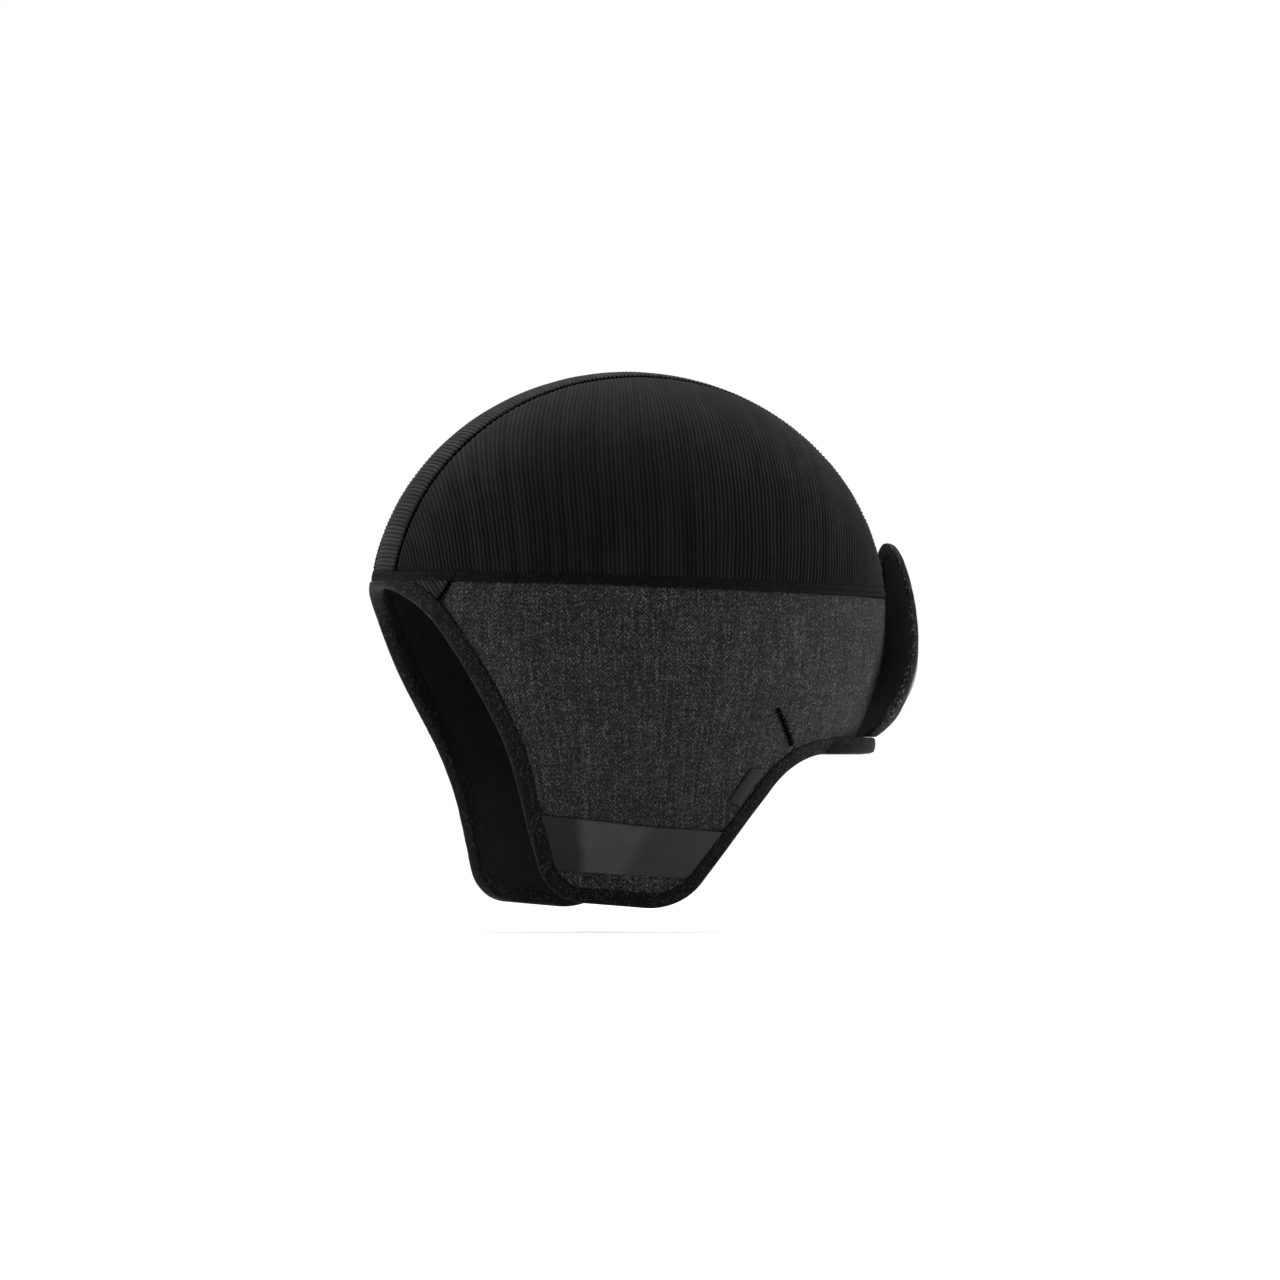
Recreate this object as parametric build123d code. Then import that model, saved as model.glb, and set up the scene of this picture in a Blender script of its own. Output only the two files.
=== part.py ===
from build123d import *
import os

# Soft water helmet: a foam laminated cap with folding ear flaps and a cupped pocket flap at the nape.
# Frame, in millimetres: +Z up, -Y the way the wearer faces, +X the wearer's left.
# The origin is the middle of the head opening at its widest level, where the cap seats on the head.

# ---------------------------------------------------------------- driving dimensions
HALF_LENGTH = 105.0  # outer cap, middle to brow and to the back of the head
HALF_WIDTH = 81.0  # outer cap, middle to the temples
CROWN_HEIGHT = 96.0  # widest level to the top
CHEEK_TUCK = 0.235  # share by which the cap narrows below its widest level
TUCK_DEPTH = 100.0  # over this depth
FORM_BOTTOM = -126.0  # the hem cuts the form above this
REACH = 140.0  # past the cap on every side

SKIN = 1.0  # outer fabric
FOAM = 2.5
LINING = 1.0  # inner fleece
TAPE = 0.8  # binding tape, over the edge
RIDGE = 0.5  # how far a stitched seam stands proud
FOAM_FACE = -SKIN  # surfaces of the layers, measured from the cap's outer surface
LINING_FACE = -(SKIN + FOAM)
INSIDE = -(SKIN + FOAM + LINING)

STRIP_HALF = 15.0  # half width of the crown's centre strip
SEAM_HALF = 0.9  # half width of a stitched seam
SEAM_LEVEL = 10.4  # the crown's lower seam at mid length
SEAM_SLOPE = 2.5  # degrees, falling towards the back
BASE_SEAM_LOW = -0.4  # elastic band along that seam
BASE_SEAM_HIGH = 3.2
BAND = 6.0  # visible width of the hem binding

FOLD_LEVEL = -60.5  # where the ear flaps fold
FOLD_GAP = 0.3  # clear on each side of the fold

# Side view of the hem as (y, z): brow, cheek, ear flap, nape.
HEM = [
    (-135.0, 36.0),
    (-96.5, 2.6),
    (-62.6, -59.2),
    (-48.5, -115.0),
    (3.0, -119.2),
    (54.5, -56.8),
    (135.0, -56.8),
]
HEM_RADII = [60.0, 130.0, 18.0, 28.0, 35.0]

# Short seams on the skirt as side view lines (y, z).
BROW_SEAM = [(-84.7, 16.2), (-92.6, 1.4)]
DART = [(41.2, -38.6), (46.6, -46.6), (53.6, -58.4)]
DART_HALF = 1.2

# The ear flap's panel ends at a free edge with a smooth patch under it and a knit strip below.
PATCH_TOP = [(-70.0, -78.6), (-15.0, -85.4), (60.0, -90.6)]
PATCH_BOTTOM = [(-70.0, -101.9), (60.0, -109.9)]
PATCH_RECESS = 0.35
KEEPER = [(31.9, -62.4), (38.5, -62.8), (27.3, -78.4), (22.2, -76.0)]
KEEPER_RISE = 1.3

# Nape pocket flap: a cup of two half ellipsoids sharing one centre.
CUP_CENTRE = (0.0, 78.3, -17.0)
CUP_HALF_WIDTH = 53.0
CUP_DEPTH = 40.0
CUP_UP = 74.0
CUP_DOWN = 40.2
CUP_SHELL = 1.0
CUP_LINING = 1.0
CUP_TAPE = 0.6
CUP_BAND = 4.4
CUP_OUTLINE = [(-12.0, -51.0), (-40.8, -33.6), (0.0, 48.0), (40.8, -33.6), (12.0, -51.0)]
CUP_RADII = [18.0, 16.2, 18.0]
CUP_FOOT = -49.6  # lower edge of the flap
CUP_FOOT_HALF = 9.0  # width left free of binding there
CUP_NOOK = (94.4, -45.6)  # (y, z) cleared in front of the foot, so it can fold down

# Thickened binding on the nape hem that carries the flap.
BASE_TOP = -50.2
BASE_BOTTOM = -56.9
BASE_REACH = 101.4
BASE_HALF = 46.0
BASE_END = 70.0  # how far back its two ends are
BASE_ROUND = 2.2
CUP_CLEARANCE = 0.5  # flap to cap


# ---------------------------------------------------------------- shared shapes
def tuck(z):
    t = min(max(-z / TUCK_DEPTH, 0.0), 1.0)
    return 1.0 - CHEEK_TUCK * t**3 * (10.0 - 15.0 * t + 6.0 * t * t)


def form(grow):
    """The solid inside the cap's outer surface, moved outwards by grow."""
    radius = HALF_LENGTH + grow
    levels = [FORM_BOTTOM * i / 10 for i in range(11)]
    wall = Spline([(HALF_LENGTH * tuck(z) + grow, z) for z in levels], tangents=[(0, -1), (0, -1)])
    dome = EllipticalCenterArc((0, 0), radius, CROWN_HEIGHT + grow, start_angle=0, arc_size=90)
    foot = HALF_LENGTH * tuck(FORM_BOTTOM) + grow
    core = Polyline((0, CROWN_HEIGHT + grow), (0, FORM_BOTTOM), (foot, FORM_BOTTOM))
    turned = revolve(Plane.XZ * make_face(wall + dome + core), Axis.Z, 90)
    corner = scale(turned, by=((HALF_WIDTH + grow) / radius, 1, 1))
    half = corner + mirror(corner, about=Plane.XZ)
    return half + mirror(half, about=Plane.YZ)


def hem(inset):
    """Everything inside the hem, or inside a line that follows it at a distance."""
    edge = FilletPolyline(*HEM, radius=HEM_RADII)
    top = Polyline(HEM[-1], (HEM[-1][0], 160.0), (HEM[0][0], 160.0), HEM[0])
    face = make_face(edge + top)
    if inset:
        face = offset(face, amount=-inset)
    return extrude(Plane.YZ * face, amount=REACH, both=True)


def side_prism(points):
    """A closed side view outline (y, z) carried across the cap."""
    return extrude(Plane.YZ * make_face(Polyline(*points, close=True)), amount=REACH, both=True)


def under(points):
    """Everything below a side view line."""
    ends = [(points[-1][0], -REACH), (points[0][0], -REACH)]
    return side_prism(points + ends)


def along(points, half):
    """A side view line given a width."""
    line = Polyline(*points)
    return extrude(Plane.YZ * trace(line, 2 * half), amount=REACH, both=True)


def above_seam(rise):
    """The half space over the crown's lower seam."""
    block = Box(3 * REACH, 3 * REACH, REACH, align=(Align.CENTER, Align.CENTER, Align.MIN))
    return Rot(-SEAM_SLOPE, 0, 0) * Pos(0, 0, SEAM_LEVEL + rise) * block


def space(x=(-REACH, REACH), y=(-REACH, REACH), z=(-REACH, REACH)):
    size = [b - a for a, b in (x, y, z)]
    middle = [(a + b) / 2 for a, b in (x, y, z)]
    return Pos(*middle) * Box(*size)


def mirrored(solid):
    return mirror(solid, about=Plane.YZ)


PARTS = {}


def keep(name, shape, count=1):
    """Files one node and stops on anything but the expected closed solids."""
    solids = shape.solids()
    assert len(solids) == count, (name, len(solids))
    assert all(s.is_valid for s in solids), name
    PARTS[name] = solids[0] if count == 1 else Compound(children=solids)


def keep_pair(name, shape, count=1):
    keep(name.format("left"), shape, count)
    keep(name.format("right"), mirrored(shape), count)


OUTER = form(0)
FOAM_SOLID = form(FOAM_FACE)
LINING_SOLID = form(LINING_FACE)
HEAD_SOLID = form(INSIDE)
CUT = hem(TAPE)  # the laminate ends here, under the binding
BAND_EDGE = hem(BAND)
SKIN_SHELL = (OUTER - FOAM_SOLID) & CUT
FOAM_SHELL = (FOAM_SOLID - LINING_SOLID) & CUT
LINING_SHELL = (LINING_SOLID - HEAD_SOLID) & CUT
RIDGE_SHELL = (form(RIDGE) - FOAM_SOLID) & BAND_EDGE

LEFT = space(x=(0, REACH))
CROWN = above_seam(BASE_SEAM_HIGH)
SKIRT_TOP = above_seam(BASE_SEAM_LOW)
SEAM_PLANE = above_seam(0)
SKIRT_SPACE = space(z=(FOLD_LEVEL + FOLD_GAP, REACH))
FLAP_SPACE = space(z=(-REACH, FOLD_LEVEL - FOLD_GAP))


# ---------------------------------------------------------------- crown
def crown():
    skin = SKIN_SHELL & CROWN
    edge = STRIP_HALF + SEAM_HALF
    keep("crown_centre_panel", skin & space(x=(-STRIP_HALF + SEAM_HALF, STRIP_HALF - SEAM_HALF)))
    keep_pair("crown_{}_panel", skin & space(x=(edge, REACH)))
    keep_pair("crown_seam_{}", RIDGE_SHELL & CROWN & space(x=(STRIP_HALF - SEAM_HALF, edge)))
    keep("crown_base_seam", (RIDGE_SHELL & SKIRT_TOP) - CROWN)
    foam = FOAM_SHELL & SEAM_PLANE
    keep("crown_centre_foam", foam & space(x=(-STRIP_HALF, STRIP_HALF)))
    keep_pair("crown_{}_foam", foam & space(x=(STRIP_HALF, REACH)))
    keep_pair("crown_lining_{}", LINING_SHELL & SEAM_PLANE & LEFT)


# ---------------------------------------------------------------- skirt
def skirt():
    forward = side_prism([*BROW_SEAM, (-96.0, -5.0), (-REACH, -5.0), (-REACH, 40.0), (BROW_SEAM[0][0], 40.0)])
    brow_line = along(BROW_SEAM, SEAM_HALF) & BAND_EDGE
    dart_line = along(DART, DART_HALF) & BAND_EDGE & space(z=(-REACH, DART[0][1]))
    back_line = space(x=(-SEAM_HALF, SEAM_HALF), y=(0, REACH)) & BAND_EDGE
    skin = (SKIN_SHELL & SKIRT_SPACE) - SKIRT_TOP
    ridge = (RIDGE_SHELL & SKIRT_SPACE) - SKIRT_TOP
    keep("forehead_panel", (skin & forward) - brow_line)
    keep_pair("skirt_{}_panel", ((skin & LEFT) - forward) - brow_line - dart_line - back_line)
    keep_pair("forehead_seam_{}", ridge & brow_line & LEFT)
    keep_pair("dart_seam_{}", ridge & dart_line & LEFT)
    keep("centre_back_seam", ridge & back_line)
    keep_pair("skirt_{}_foam", (FOAM_SHELL & SKIRT_SPACE & LEFT) - SEAM_PLANE)
    keep_pair("skirt_{}_lining", (LINING_SHELL & SKIRT_SPACE & LEFT) - SEAM_PLANE)


# ---------------------------------------------------------------- hem binding
def binding():
    """A folded tape: an outer leg, an inner leg and the edge between them."""
    tube = (form(TAPE) - form(INSIDE - TAPE)) & (hem(0) - BAND_EDGE)
    return tube - ((OUTER - HEAD_SOLID) & CUT)


def bindings():
    tape = binding()
    upper = tape & SKIRT_SPACE
    keep("brow_binding", upper & space(y=(-REACH, 0)))
    keep("nape_binding", upper & space(y=(0, REACH)))
    keep_pair("ear_flap_{}_binding", tape & FLAP_SPACE & LEFT)


# ---------------------------------------------------------------- ear flaps
def ear_flaps():
    low = FLAP_SPACE & LEFT
    patch_area = under(PATCH_TOP)
    tip_area = under(PATCH_BOTTOM)
    skin = SKIN_SHELL & low
    recessed = (form(-PATCH_RECESS) - FOAM_SOLID) & CUT & low
    keep_pair("ear_flap_{}_panel", skin - patch_area)
    keep_pair("ear_flap_{}_patch", (recessed & patch_area) - tip_area)
    keep_pair("ear_flap_{}_tip", skin & tip_area)
    keep_pair("ear_flap_{}_foam", FOAM_SHELL & low)
    keep_pair("ear_flap_{}_lining", LINING_SHELL & low)
    keep_pair("ear_flap_{}_strap_keeper", ((form(KEEPER_RISE) - OUTER) & side_prism(KEEPER)) & low)


# ---------------------------------------------------------------- nape pocket
def cup(inset):
    """The cup's solid with its face moved in by inset."""
    ball = Sphere(1.0)
    wide = CUP_HALF_WIDTH - inset
    deep = CUP_DEPTH - inset
    upper = scale(split(ball, Plane.XY, keep=Keep.TOP), by=(wide, deep, CUP_UP - inset))
    lower = scale(split(ball, Plane.XY, keep=Keep.BOTTOM), by=(wide, deep, CUP_DOWN - inset))
    return Pos(*CUP_CENTRE) * (upper + lower)


def cup_outline(inset):
    """The flap's petal outline carried backwards."""
    line = FilletPolyline(*CUP_OUTLINE, radius=CUP_RADII)
    face = make_face(line + Line(CUP_OUTLINE[-1], CUP_OUTLINE[0]))
    if inset:
        face = offset(face, amount=-inset)
    petal = extrude(Plane.XZ * face, amount=-REACH)
    return petal & space(y=(CUP_CENTRE[1], REACH), z=(CUP_FOOT, REACH))


def nape_pocket():
    face = cup(0)
    middle = cup(CUP_SHELL)
    back = cup(CUP_SHELL + CUP_LINING)
    foot = space(x=(-CUP_FOOT_HALF, CUP_FOOT_HALF), z=(-REACH, CUP_FOOT + 6.0))
    clear = form(CUP_CLEARANCE) + space(y=(0, CUP_NOOK[0]), z=(-REACH, CUP_NOOK[1]))
    inner = (cup_outline(CUP_TAPE) + (cup_outline(0) & foot)) - clear
    rim = (cup_outline(0) - cup_outline(CUP_BAND)) - foot - clear
    wrap = (cup(-CUP_TAPE) - cup(CUP_SHELL + CUP_LINING + CUP_TAPE)) & rim
    keep("rear_flap_shell", (face - middle) & inner)
    keep("rear_flap_lining", (middle - back) & inner)
    keep("rear_flap_binding", wrap - ((face - back) & inner))


def pocket_base():
    """A crescent of thick binding, following the nape hem."""
    start = form(TAPE)
    ends = [(BASE_HALF, BASE_END), (BASE_HALF, 40.0), (-BASE_HALF, 40.0), (-BASE_HALF, BASE_END)]
    swell = ThreePointArc(ends[-1], (0, BASE_REACH), ends[0])
    plan = make_face(swell + Polyline(*ends))
    block = extrude(Pos(0, 0, BASE_BOTTOM) * plan, amount=BASE_TOP - BASE_BOTTOM)
    block = fillet(block.edges().filter_by(GeomType.CIRCLE), BASE_ROUND)
    keep("pocket_base_binding", (block - start) & space(y=(40.5, REACH)))


def write_parts():
    os.makedirs("parts", exist_ok=True)
    for name, shape in PARTS.items():
        shape.label = name
        export_step(shape, f"parts/{name}.step")
        print(name, round(shape.volume))


crown()
skirt()
bindings()
ear_flaps()
nape_pocket()
pocket_base()
write_parts()
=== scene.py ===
import math

import bpy
import numpy as np
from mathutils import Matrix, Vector


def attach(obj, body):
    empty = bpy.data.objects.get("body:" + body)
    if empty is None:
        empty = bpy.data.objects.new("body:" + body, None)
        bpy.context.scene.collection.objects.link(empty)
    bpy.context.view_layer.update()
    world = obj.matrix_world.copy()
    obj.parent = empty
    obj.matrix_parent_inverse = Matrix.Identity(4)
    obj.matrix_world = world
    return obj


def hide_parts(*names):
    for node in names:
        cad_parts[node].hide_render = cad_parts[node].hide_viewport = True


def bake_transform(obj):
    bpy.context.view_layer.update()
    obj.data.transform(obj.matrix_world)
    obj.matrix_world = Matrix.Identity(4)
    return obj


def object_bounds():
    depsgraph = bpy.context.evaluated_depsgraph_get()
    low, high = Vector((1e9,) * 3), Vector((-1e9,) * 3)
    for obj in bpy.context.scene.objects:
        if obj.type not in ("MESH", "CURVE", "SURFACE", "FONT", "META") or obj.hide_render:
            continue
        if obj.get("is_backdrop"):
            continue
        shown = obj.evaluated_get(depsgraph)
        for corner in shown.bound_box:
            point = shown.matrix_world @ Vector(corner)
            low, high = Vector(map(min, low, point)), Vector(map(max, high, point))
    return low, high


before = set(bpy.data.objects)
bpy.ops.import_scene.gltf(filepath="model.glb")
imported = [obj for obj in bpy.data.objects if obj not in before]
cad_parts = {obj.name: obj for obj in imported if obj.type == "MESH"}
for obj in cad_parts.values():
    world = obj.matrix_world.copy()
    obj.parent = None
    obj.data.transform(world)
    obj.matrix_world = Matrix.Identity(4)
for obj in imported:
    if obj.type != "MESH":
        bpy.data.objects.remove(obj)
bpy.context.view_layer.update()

rng = np.random.default_rng(7)

# ---------------------------------------------------------------- sizes, in millimetres, as in the CAD
MM = 0.001
HALF_LENGTH, HALF_WIDTH, CROWN = 105.0, 81.0, 96.0
CHEEK_TUCK, TUCK_DEPTH = 0.235, 100.0
STRIP_HALF = 15.0
SEAM_LEVEL, SEAM_SLOPE = 9.7, math.tan(math.radians(1.9))
HEM = [(-135.0, 36.0), (-96.5, 2.6), (-62.6, -59.2), (-48.5, -115.0), (3.0, -119.2), (54.5, -56.8), (135.0, -56.8)]
HEM_RADII = [60.0, 130.0, 18.0, 28.0, 35.0]
BROW_SEAM = [(-84.7, 16.2), (-92.6, 1.4)]
DART = [(41.2, -38.6), (46.6, -46.6), (52.0, -55.8)]
PATCH_TOP = [(-70.0, -78.6), (-15.0, -85.4), (60.0, -90.6)]
PATCH_BOTTOM = [(-70.0, -101.9), (60.0, -109.9)]
KEEPER = [(31.9, -62.4), (38.5, -62.8), (27.3, -78.4), (22.2, -76.0)]
CUP_Y, CUP_Z, CUP_WIDE, CUP_DEEP, CUP_UP, CUP_DOWN = 78.3, -17.0, 53.0, 40.0, 74.0, 40.2
CUP_OUTLINE = [(-12.0, -51.0), (-40.8, -33.6), (0.0, 48.0), (40.8, -33.6), (12.0, -51.0)]
CUP_RADII = [18.0, 16.2, 18.0]
CUP_FOOT = -50.02
RIB = 1.7


# ---------------------------------------------------------------- the cap's form
def tuck(z):
    t = np.clip(-z / TUCK_DEPTH, 0, 1)
    return 1 - CHEEK_TUCK * t**3 * (10 - 15 * t + 6 * t * t)


def level(z):
    """The plan's size at height z, as a share of its widest."""
    return np.where(z >= 0, np.sqrt(np.clip(1 - (z / CROWN) ** 2, 0, 1)), tuck(z))


def shell(phi, h, g):
    """Points on the cap g outside its outer surface, at plan angle phi and height h."""
    phi, h, g = np.broadcast_arrays(np.asarray(phi, float), np.asarray(h, float), np.asarray(g, float))
    a = np.where(h >= 0, (HALF_LENGTH + g) * level(h), HALF_LENGTH * tuck(h) + g)
    z = np.where(h >= 0, (CROWN + g) / CROWN * h, h)
    return np.stack([(HALF_WIDTH + g) / (HALF_LENGTH + g) * a * np.cos(phi), a * np.sin(phi), z], -1)


def angle_at(y, z):
    return np.arcsin(np.clip(y / (HALF_LENGTH * level(z)), -1, 1))


def side(y, z, g):
    """Points on the wearer's left seen at (y, z) from the side."""
    return shell(angle_at(y, z), z, g)


def around(phi):
    """Length along the widest level from the temple, in mm."""
    t = np.linspace(-math.pi / 2, math.pi / 2, 2001)
    step = np.hypot(HALF_WIDTH * np.sin(t), HALF_LENGTH * np.cos(t)) * (t[1] - t[0])
    total = sums(step)
    return np.interp(phi, t, total - total[1000])


def sums(step):
    """The running total of a row of steps, by trapezia."""
    return np.concatenate([[0], np.cumsum((step[1:] + step[:-1]) / 2)])


def lengths(line):
    """The length along a line up to each of its points."""
    return np.concatenate([[0], np.cumsum(np.linalg.norm(np.diff(line, axis=0), axis=1))])


def rounded(points, radii, step=0.4):
    """A polyline with arcs at its corners, as evenly spaced points."""
    p = [np.array(q, float) for q in points]
    out = [p[0]]
    for a, b, c, r in zip(p, p[1:], p[2:], radii):
        u, v = (a - b) / np.linalg.norm(a - b), (c - b) / np.linalg.norm(c - b)
        half = math.acos(np.clip(u @ v, -1, 1)) / 2
        mid = (u + v) / np.linalg.norm(u + v)
        centre = b + mid * r / math.sin(half)
        start, end = b + u * r / math.tan(half), b + v * r / math.tan(half)
        a0 = math.atan2(*(start - centre)[::-1])
        turn = (math.atan2(*(end - centre)[::-1]) - a0 + math.pi) % (2 * math.pi) - math.pi
        n = max(4, int(abs(turn) * r / step))
        angles = [a0 + turn * i / n for i in range(n + 1)]
        out += [centre + r * np.array([math.cos(a), math.sin(a)]) for a in angles]
    out.append(p[-1])
    return even(np.array(out), step)


def even(line, step=None, count=None):
    """The line again, with evenly spaced points."""
    run = lengths(line)
    at = np.linspace(0, run[-1], count or max(2, int(round(run[-1] / step)) + 1))
    return np.stack([np.interp(at, run, line[:, k]) for k in range(line.shape[1])], 1)


def inward(line, turn=1):
    d = np.gradient(line, axis=0)
    d /= np.linalg.norm(d, axis=1)[:, None]
    return turn * np.stack([-d[:, 1], d[:, 0]], 1)


HEM_LINE = rounded(HEM, HEM_RADII)
HEM_IN = inward(HEM_LINE)


def hem_line(inset):
    """The part of the hem, moved in by inset, that lies on the cap: (y, z) from brow to nape."""
    p = HEM_LINE + HEM_IN * inset
    inside = HALF_LENGTH * level(p[:, 1]) - np.abs(p[:, 0])
    on = np.where(inside > 0)[0]
    on = on[np.concatenate([[True], np.diff(on) == 1])]
    i, j = on[0], on[-1]
    first = p[i] + (p[i - 1] - p[i]) * inside[i] / (inside[i] - inside[i - 1])
    last = p[j] + (p[j + 1] - p[j]) * inside[j] / (inside[j] - inside[j + 1])
    return np.vstack([first, p[i : j + 1], last])


def hem_height(phi, inset):
    line = hem_line(inset)
    a = angle_at(line[:, 0], line[:, 1])
    a[0], a[-1] = -math.pi / 2, math.pi / 2
    order = np.maximum.accumulate(a)
    return np.interp(phi, order, line[:, 1])


def seam_height(phi, rise=0.0):
    return SEAM_LEVEL + rise - SEAM_SLOPE * HALF_LENGTH * 0.993 * np.sin(phi)


def line_height(points, y):
    return np.interp(y, [p[0] for p in points], [p[1] for p in points])


def soft_noise(a, b, size, seed, octaves=3):
    """Smooth noise from -1 to 1 over two coordinates in mm."""
    r = np.random.default_rng(seed)
    out, gain = np.zeros(np.broadcast(a, b).shape), 0
    for o in range(octaves):
        for _ in range(5):
            t, p = r.uniform(0, 2 * math.pi, 2)
            k = 2 * math.pi / size * 1.8**o * r.uniform(0.7, 1.3)
            out += np.sin(k * (a * math.cos(t) + b * math.sin(t)) + p) / 1.8**o
            gain += 0.5 / 1.8**o
    return out / gain * 0.8


def smooth(t):
    t = np.clip(t, 0, 1)
    return t * t * (3 - 2 * t)


# ---------------------------------------------------------------- meshes
def mesh_object(name, points, faces, uv, material):
    mesh = bpy.data.meshes.new(name)
    mesh.from_pydata((np.asarray(points) * MM).tolist(), [], faces.tolist() if hasattr(faces, "tolist") else faces)
    layer = mesh.uv_layers.new(name="UVMap")
    loops = np.zeros(len(mesh.loops), np.int32)
    mesh.loops.foreach_get("vertex_index", loops)
    layer.data.foreach_set("uv", (np.asarray(uv)[loops]).astype(np.float32).ravel())
    mesh.polygons.foreach_set("use_smooth", [True] * len(mesh.polygons))
    mesh.validate()
    obj = bpy.data.objects.new(name, mesh)
    bpy.context.scene.collection.objects.link(obj)
    mesh.materials.append(material)
    return obj


def grid_faces(rows, cols, closed=False, flip=False):
    r, c = np.arange(rows - 1)[:, None], np.arange(cols if closed else cols - 1)[None]
    n = (c + 1) % cols
    quads = np.stack([r * cols + c, r * cols + n, (r + 1) * cols + n, (r + 1) * cols + c], -1).reshape(-1, 4)
    return quads[:, ::-1] if flip else quads


def sheet_piece(name, p, uv, material, flip=False, closed=False):
    rows, cols = p.shape[:2]
    faces = grid_faces(rows, cols, closed, flip)
    return mesh_object(name, p.reshape(-1, 3), faces, uv.reshape(-1, 2), material)


def solid_piece(name, outer, inner, uv, material):
    """Two layers joined round their edges."""
    rows, cols = outer.shape[:2]
    n = rows * cols
    top = grid_faces(rows, cols)
    faces = [top, top[:, ::-1] + n]
    first, last = np.arange(cols), (rows - 1) * cols + np.arange(cols - 2, -1, -1)
    ring = np.concatenate([first, np.arange(1, rows) * cols + cols - 1, last, np.arange(rows - 2, 0, -1) * cols])
    nxt = np.roll(ring, -1)
    faces.append(np.stack([nxt, ring, ring + n, nxt + n], 1))
    points = np.concatenate([outer.reshape(-1, 3), inner.reshape(-1, 3)])
    both_uv = np.concatenate([uv.reshape(-1, 2)] * 2)
    return mesh_object(name, points, np.concatenate(faces), both_uv, material)


def mirrored(p):
    return p * np.array([-1.0, 1.0, 1.0])


def ribbon(centre, normal, width, lift):
    """The narrow channel that a row of stitches lies in."""
    d = np.gradient(centre, axis=0)
    d /= np.linalg.norm(d, axis=1)[:, None]
    across = np.cross(normal, d)
    across /= np.linalg.norm(across, axis=1)[:, None]
    s = np.linspace(-1, 1, 9)[:, None, None]
    p = centre[None] + across[None] * s * width / 2 + normal[None] * (lift + 0.10 - 0.45 * np.abs(s) ** 3)
    run = lengths(centre)
    uv = np.stack(np.broadcast_arrays(run[None], s[..., 0] * width / 2), -1)
    return p, uv


def tubes(name, lines, radius, material, under, sides=6):
    """Short threads and the ribbon under them as one mesh. Each line is a few points."""
    p, flat = under
    points, uv = [p.reshape(-1, 3)], [flat.reshape(-1, 2)]
    faces, base = grid_faces(*p.shape[:2]).tolist(), p.shape[0] * p.shape[1]
    for line in lines:
        line = np.asarray(line)
        d = np.gradient(line, axis=0)
        d /= np.linalg.norm(d, axis=1)[:, None] + 1e-12
        ref = np.array([0.31, 0.52, 0.79])
        u = np.cross(d, ref)
        u /= np.linalg.norm(u, axis=1)[:, None]
        v = np.cross(d, u)
        t = np.linspace(0, 2 * math.pi, sides, endpoint=False)
        size = np.full(len(line), radius)
        size[[0, -1]] *= 0.45
        turn = np.cos(t)[None, :, None] * u[:, None] + np.sin(t)[None, :, None] * v[:, None]
        ring = line[:, None] + size[:, None, None] * turn
        points.append(ring.reshape(-1, 3))
        run = lengths(line)
        uv.append(np.stack(np.broadcast_arrays(run[:, None], t[None] * radius), -1).reshape(-1, 2))
        faces += (grid_faces(len(line), sides, closed=True) + base).tolist()
        faces.append([base + k for k in range(sides)][::-1])
        faces.append([base + (len(line) - 1) * sides + k for k in range(sides)])
        base += len(line) * sides
    return mesh_object(name, np.concatenate(points), faces, np.concatenate(uv), material)


def ladder(centre, normal, width, pitch, lift, slant, jitter=0.12):
    """Lines of thread across a seam that runs along centre."""
    run = lengths(centre)
    count = max(2, int(run[-1] / pitch))
    lines = []
    for i in range(count):
        at = (i + 0.5) * run[-1] / count + rng.uniform(-jitter, jitter) * pitch
        c = np.array([np.interp(at, run, centre[:, k]) for k in range(3)])
        e = np.array([np.interp(at + 0.3, run, centre[:, k]) for k in range(3)])
        n = np.array([np.interp(at, run, normal[:, k]) for k in range(3)])
        t = e - c
        t /= np.linalg.norm(t) + 1e-9
        n /= np.linalg.norm(n)
        across = np.cross(n, t)
        w = width * rng.uniform(0.9, 1.1)
        s = np.linspace(-1, 1, 7)
        rise = lift - (lift + 0.45) * np.abs(s) ** 2.4
        lines.append(c + (across + t * slant) * (s * w / 2)[:, None] + n * rise[:, None])
    return lines


def normals_on(points):
    """Outward directions of the cap at points on it."""
    x, y, z = points.T
    up = np.where(z > 0, z / CROWN**2, 0.0)
    slope = (tuck(z + 0.5) - tuck(z - 0.5)) * HALF_LENGTH
    k = np.maximum(level(z), 0.05)
    n = np.stack([x / HALF_WIDTH**2, y / HALF_LENGTH**2, np.where(z > 0, up, -slope * k / HALF_LENGTH)], 1)
    return n / np.linalg.norm(n, axis=1)[:, None]


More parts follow.
